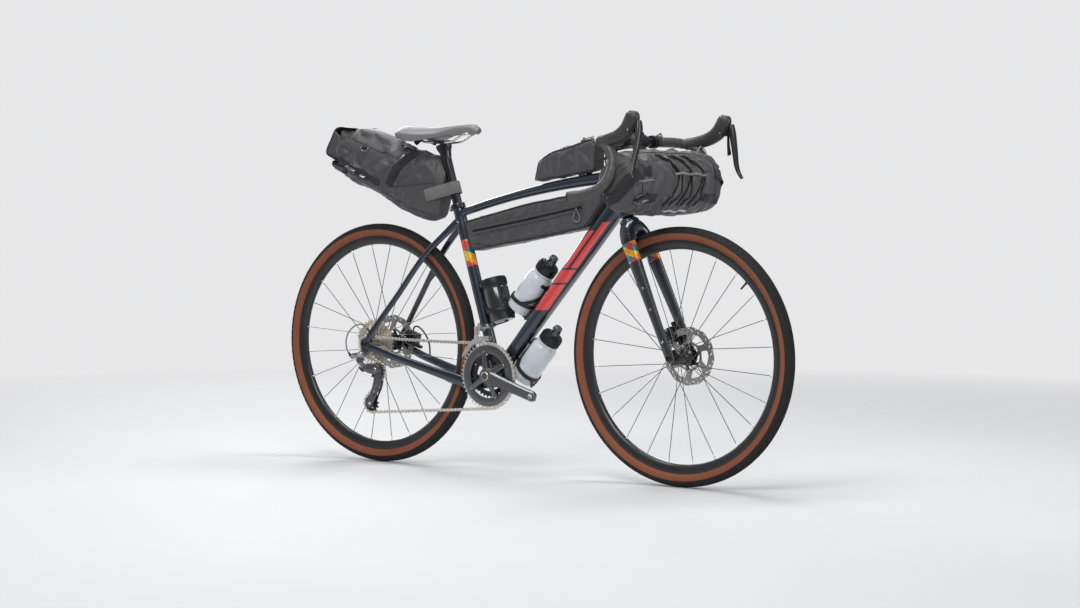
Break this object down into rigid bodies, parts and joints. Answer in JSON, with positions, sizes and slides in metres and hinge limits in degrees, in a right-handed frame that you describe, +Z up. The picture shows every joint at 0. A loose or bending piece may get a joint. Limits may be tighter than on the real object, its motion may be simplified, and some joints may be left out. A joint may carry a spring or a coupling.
{
  "type": "gravel bicycle with bikepacking bags",
  "caption": "Drop-bar bicycle with disc brakes, steering, spinning wheels and drivetrain, and saddle, frame, top-tube and handlebar bags, bottles and a canister in cages.",
  "frame": {"origin": "on the ground, midway between the wheel axles, in the plane of the frame", "axes": "+X forward, +Y to the rider's left, +Z up; the drivetrain is on the -Y side"},
  "size_m": [1.757, 0.5484, 1.005],
  "materials": {
    "black_alloy": "satin black",
    "black_plastic": "matte",
    "black_rubber": "matte",
    "clear_bottle": "translucent",
    "grey_alloy": "satin grey",
    "grey_fabric": "coated",
    "navy_paint": "gloss",
    "saddle_cover": "satin",
    "silver_steel": "bright",
    "smoke_bottle": "translucent",
    "tyre_rubber": "matte"
  },
  "bodies": {
    "steering": {"bungee_lacing": "black_rubber", "fork": "navy_paint", "front_axle": "black_alloy", "front_calliper": "black_alloy", "handlebar": "black_rubber", "handlebar_bag": "grey_fabric", "left_hood": "black_rubber", "right_hood": "black_rubber", "stem": "black_alloy"},
    "frame": {"canister_cage": "black_plastic", "chain": "silver_steel", "derailleur_upper_knuckle": "grey_alloy", "down_tube": "navy_paint", "frame_bag": "grey_fabric", "front_derailleur_mount": "silver_steel", "head_tube": "navy_paint", "left_stays": "navy_paint", "lower_cage": "black_plastic", "rear_axle": "black_alloy", "rear_brake_hose": "black_rubber", "rear_calliper": "black_alloy", "rear_shift_housing": "black_rubber", "right_stays": "navy_paint", "seat_tube": "navy_paint", "top_tube": "navy_paint", "top_tube_bag": "grey_fabric", "upper_cage": "black_plastic"},
    "cassette": {"cassette": "silver_steel"},
    "derailleur_cage": {"derailleur_cage": "grey_alloy"},
    "derailleur_link": {"derailleur_link": "grey_alloy"},
    "derailleur_lower_knuckle": {"derailleur_lower_knuckle": "grey_alloy"},
    "front_derailleur_cage": {"front_derailleur_cage": "silver_steel"},
    "front_wheel": {"front_hub": "black_alloy", "front_rim": "black_alloy", "front_rotor": "silver_steel", "front_tyre": "tyre_rubber"},
    "front_pad_inner": {"front_pad_inner": "black_alloy"},
    "front_pad_outer": {"front_pad_outer": "black_alloy"},
    "guide_pulley": {"guide_pulley": "black_plastic"},
    "crankset": {"inner_chainring": "grey_alloy", "left_crank_arm": "grey_alloy", "outer_chainring": "grey_alloy", "right_crank_arm": "grey_alloy"},
    "left_brake_lever": {"left_brake_lever": "black_alloy"},
    "left_shift_paddle": {"left_shift_paddle": "black_plastic"},
    "lower_bottle": {"lower_bottle": "clear_bottle"},
    "rear_wheel": {"rear_hub": "black_alloy", "rear_rim": "black_alloy", "rear_rotor": "silver_steel", "rear_tyre": "tyre_rubber"},
    "rear_pad_inner": {"rear_pad_inner": "black_alloy"},
    "rear_pad_outer": {"rear_pad_outer": "black_alloy"},
    "right_brake_lever": {"right_brake_lever": "black_alloy"},
    "right_shift_paddle": {"right_shift_paddle": "black_plastic"},
    "seatpost": {"saddle": "saddle_cover", "saddle_bag": "grey_fabric", "seatpost": "black_alloy"},
    "tension_pulley": {"tension_pulley": "black_plastic"},
    "tool_canister": {"tool_canister": "smoke_bottle"},
    "upper_bottle": {"upper_bottle": "clear_bottle"}
  },
  "joints": [
    {"name": "steering", "type": "hinge", "parent": "frame", "child": "steering", "pos_m": [0.4809, 0, 0.33586], "axis": [-0.309, 0, 0.9511], "range_deg": [-55, 55]},
    {"name": "front_wheel_spin", "type": "hinge", "parent": "steering", "child": "front_wheel", "pos_m": [0.5275, 0, 0.351], "axis": [0, 1, 0], "continuous": true},
    {"name": "rear_wheel_spin", "type": "hinge", "parent": "frame", "child": "rear_wheel", "pos_m": [-0.5275, 0, 0.351], "axis": [0, 1, 0], "continuous": true},
    {"name": "crank_spin", "type": "hinge", "parent": "frame", "child": "crankset", "pos_m": [-0.09147, 0, 0.275], "axis": [0, 1, 0], "continuous": true, "deforming": ["chain"]},
    {"name": "cassette_spin", "type": "hinge", "parent": "frame", "child": "cassette", "pos_m": [-0.5275, 0, 0.351], "axis": [0, 1, 0], "continuous": true, "deforming": ["chain"]},
    {"name": "derailleur_swing", "type": "hinge", "parent": "frame", "child": "derailleur_link", "pos_m": [-0.548, -0.068, 0.2985], "axis": [0.5996, 0.2258, 0.7678], "range_deg": [0, 62], "deforming": ["chain"]},
    {"name": "derailleur_level", "type": "hinge", "parent": "derailleur_link", "child": "derailleur_lower_knuckle", "pos_m": [-0.52193, -0.09228, 0.28529], "axis": [0.5996, 0.2258, 0.7678], "range_deg": [-62, 0], "deforming": ["chain"]},
    {"name": "cage_swing", "type": "hinge", "parent": "derailleur_lower_knuckle", "child": "derailleur_cage", "pos_m": [-0.4765, -0.0757, 0.279], "axis": [0, 1, 0], "range_deg": [-50, 8], "stiffness_Nm_per_rad": 0.5, "deforming": ["chain"]},
    {"name": "guide_pulley_spin", "type": "hinge", "parent": "derailleur_cage", "child": "guide_pulley", "pos_m": [-0.487, -0.0655, 0.269], "axis": [0, 1, 0], "continuous": true, "deforming": ["chain"]},
    {"name": "tension_pulley_spin", "type": "hinge", "parent": "derailleur_cage", "child": "tension_pulley", "pos_m": [-0.50963, -0.0655, 0.17674], "axis": [0, 1, 0], "continuous": true, "deforming": ["chain"]},
    {"name": "front_derailleur_swing", "type": "hinge", "parent": "frame", "child": "front_derailleur_cage", "pos_m": [-0.13219, -0.0448, 0.409], "axis": [1, 0, 0], "range_deg": [0, 8.5], "deforming": ["chain"]},
    {"name": "right_brake", "type": "hinge", "parent": "steering", "child": "right_brake_lever", "pos_m": [0.5405, -0.2268, 0.969], "axis": [0, 1, 0], "range_deg": [0, 18], "stiffness_Nm_per_rad": 1.5},
    {"name": "right_shift", "type": "hinge", "parent": "right_brake_lever", "child": "right_shift_paddle", "pos_m": [0.5335, -0.224, 0.948], "axis": [1, 0, 0], "range_deg": [0, 14], "stiffness_Nm_per_rad": 0.2},
    {"name": "left_brake", "type": "hinge", "parent": "steering", "child": "left_brake_lever", "pos_m": [0.5405, 0.2268, 0.969], "axis": [0, 1, 0], "range_deg": [0, 18], "stiffness_Nm_per_rad": 1.5},
    {"name": "left_shift", "type": "hinge", "parent": "left_brake_lever", "child": "left_shift_paddle", "pos_m": [0.5335, 0.224, 0.948], "axis": [1, 0, 0], "range_deg": [-14, 0], "stiffness_Nm_per_rad": 0.2},
    {"name": "front_pad_outer_slide", "type": "slide", "parent": "steering", "child": "front_pad_outer", "axis": [0, 1, 0], "range_m": [0, 0.0005]},
    {"name": "front_pad_inner_slide", "type": "slide", "parent": "steering", "child": "front_pad_inner", "axis": [0, -1, 0], "range_m": [0, 0.0005]},
    {"name": "rear_pad_outer_slide", "type": "slide", "parent": "frame", "child": "rear_pad_outer", "axis": [0, 1, 0], "range_m": [0, 0.0005]},
    {"name": "rear_pad_inner_slide", "type": "slide", "parent": "frame", "child": "rear_pad_inner", "axis": [0, -1, 0], "range_m": [0, 0.0005]},
    {"name": "seatpost_height", "type": "slide", "parent": "frame", "child": "seatpost", "axis": [-0.2907, 0, 0.9568], "range_m": [0, 0.06]},
    {"name": "upper_bottle_pull", "type": "slide", "parent": "frame", "child": "upper_bottle", "axis": [0.6495, 0, 0.7603], "range_m": [0, 0.055]},
    {"name": "lower_bottle_pull", "type": "slide", "parent": "frame", "child": "lower_bottle", "axis": [0.6495, 0, 0.7603], "range_m": [0, 0.05]},
    {"name": "canister_pull", "type": "slide", "parent": "frame", "child": "tool_canister", "axis": [-0.2907, 0, 0.9568], "range_m": [0, 0.05]}
  ],
  "couplings": [
    {"joint": "cassette_spin", "follows": "crank_spin", "ratio": 4.1818},
    {"joint": "guide_pulley_spin", "follows": "crank_spin", "ratio": -3.5385},
    {"joint": "tension_pulley_spin", "follows": "crank_spin", "ratio": 3.5385},
    {"joint": "derailleur_level", "follows": "derailleur_swing", "ratio": -1},
    {"joint": "front_pad_outer_slide", "follows": "left_brake", "m_per_rad": 0.0015915},
    {"joint": "front_pad_inner_slide", "follows": "left_brake", "m_per_rad": 0.0015915},
    {"joint": "rear_pad_outer_slide", "follows": "right_brake", "m_per_rad": 0.0015915},
    {"joint": "rear_pad_inner_slide", "follows": "right_brake", "m_per_rad": 0.0015915}
  ]
}
